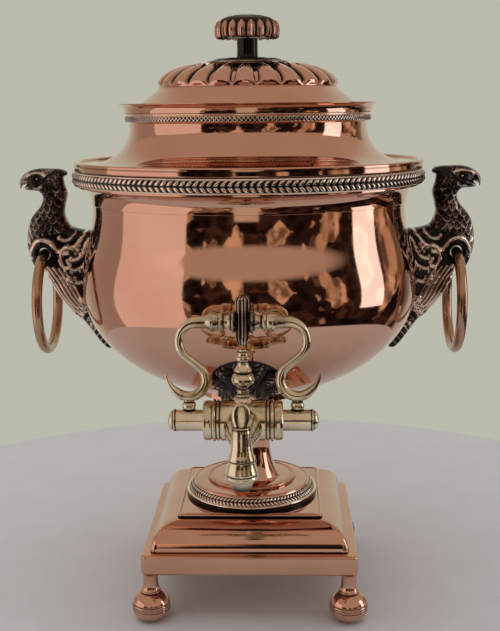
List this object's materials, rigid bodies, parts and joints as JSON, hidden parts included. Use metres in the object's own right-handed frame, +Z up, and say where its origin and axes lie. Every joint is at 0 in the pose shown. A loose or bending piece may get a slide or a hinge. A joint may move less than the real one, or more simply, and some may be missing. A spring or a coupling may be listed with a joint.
{
  "type": "samovar",
  "caption": "Footed copper tea urn with a lobed lift-off lid, eagle handles with swinging rings, an iron heater slug in a sleeve, and a front tap turned by a lyre-shaped yoke.",
  "frame": {"origin": "on the table, under the axis of the bowl and in the middle of the four feet", "axes": "+Z up, the tap faces -Y, and the two eagle handles lie on the X axis"},
  "size_m": [0.3332, 0.3154, 0.42],
  "materials": {
    "polished_copper": "polished copper, rose coloured, a little worn",
    "dark_bronze": "dark patinated cast metal with bright high spots",
    "pale_brass": "pale polished brass",
    "steel": "plain turned steel",
    "cast_iron": "rough cast iron",
    "leather": "greased leather"
  },
  "bodies": {
    "urn": {"foot_front_left": "polished_copper", "foot_front_right": "polished_copper", "foot_back_left": "polished_copper", "foot_back_right": "polished_copper", "foot_studs": "steel", "corner_bosses": "polished_copper", "base_plate": "polished_copper", "base_slab": "polished_copper", "base_cushion": "polished_copper", "platform": "polished_copper", "pedestal_ring": "dark_bronze", "pedestal_disc": "polished_copper", "stem": "polished_copper", "stem_cup": "polished_copper", "bowl_seat_ring": "polished_copper", "tie_rod": "steel", "tie_rod_washers": "steel", "tie_rod_nuts": "steel", "bowl": "polished_copper", "rim_moulding": "polished_copper", "rim_band": "dark_bronze", "rim_lip": "polished_copper", "shoulder": "polished_copper", "neck_rim": "polished_copper", "neck_band": "dark_bronze", "heater_sleeve": "polished_copper", "eagle_left": "dark_bronze", "eagle_right": "dark_bronze", "eagle_screws": "steel", "tap_flange": "dark_bronze", "tap_saddle_washer": "pale_brass", "tap_back_nut": "pale_brass", "tap_pipe": "pale_brass", "tap_barrel": "pale_brass", "gland_rings": "pale_brass", "gland_packings": "leather", "tap_finial": "pale_brass", "tap_spout": "pale_brass", "spout_crest": "pale_brass"},
    "lid": {"lid": "polished_copper", "lid_bezel": "polished_copper", "lid_disc": "dark_bronze", "knob_stem": "dark_bronze", "knob": "dark_bronze", "knob_stud": "steel", "knob_washer": "steel", "knob_nut": "steel"},
    "heater_cover": {"heater_cover": "polished_copper"},
    "heater_slug": {"heater_slug": "cast_iron", "slug_eye": "cast_iron"},
    "ring_left": {"ring_left": "polished_copper"},
    "ring_right": {"ring_right": "polished_copper"},
    "tap_yoke": {"tap_plug": "pale_brass", "peg_caps": "pale_brass", "yoke_balls": "pale_brass", "yoke_scroll_left": "pale_brass", "yoke_scroll_right": "pale_brass", "yoke_crossbar": "pale_brass", "yoke_collars": "pale_brass", "yoke_grip": "dark_bronze"}
  },
  "joints": [
    {"name": "lid_lift", "type": "slide", "parent": "urn", "child": "lid", "axis": [0, 0, 1], "range_m": [0, 0.3]},
    {"name": "heater_cover_lift", "type": "slide", "parent": "urn", "child": "heater_cover", "axis": [0, 0, 1], "range_m": [0, 0.24]},
    {"name": "heater_slug_lift", "type": "slide", "parent": "urn", "child": "heater_slug", "axis": [0, 0, 1], "range_m": [0, 0.18]},
    {"name": "ring_left_swing", "type": "hinge", "parent": "urn", "child": "ring_left", "pos_m": [-0.1495, 0, 0.25265], "axis": [0, 1, 0], "range_deg": [-22, 115]},
    {"name": "ring_right_swing", "type": "hinge", "parent": "urn", "child": "ring_right", "pos_m": [0.1495, 0, 0.25265], "axis": [0, -1, 0], "range_deg": [-22, 115]},
    {"name": "tap_turn", "type": "hinge", "parent": "urn", "child": "tap_yoke", "pos_m": [0, -0.145, 0.169], "axis": [1, 0, 0], "range_deg": [0, 90]}
  ],
  "couplings": [
    {"joint": "heater_cover_lift", "follows": "lid_lift", "ratio": 0.8},
    {"joint": "heater_slug_lift", "follows": "lid_lift", "ratio": 0.6}
  ]
}
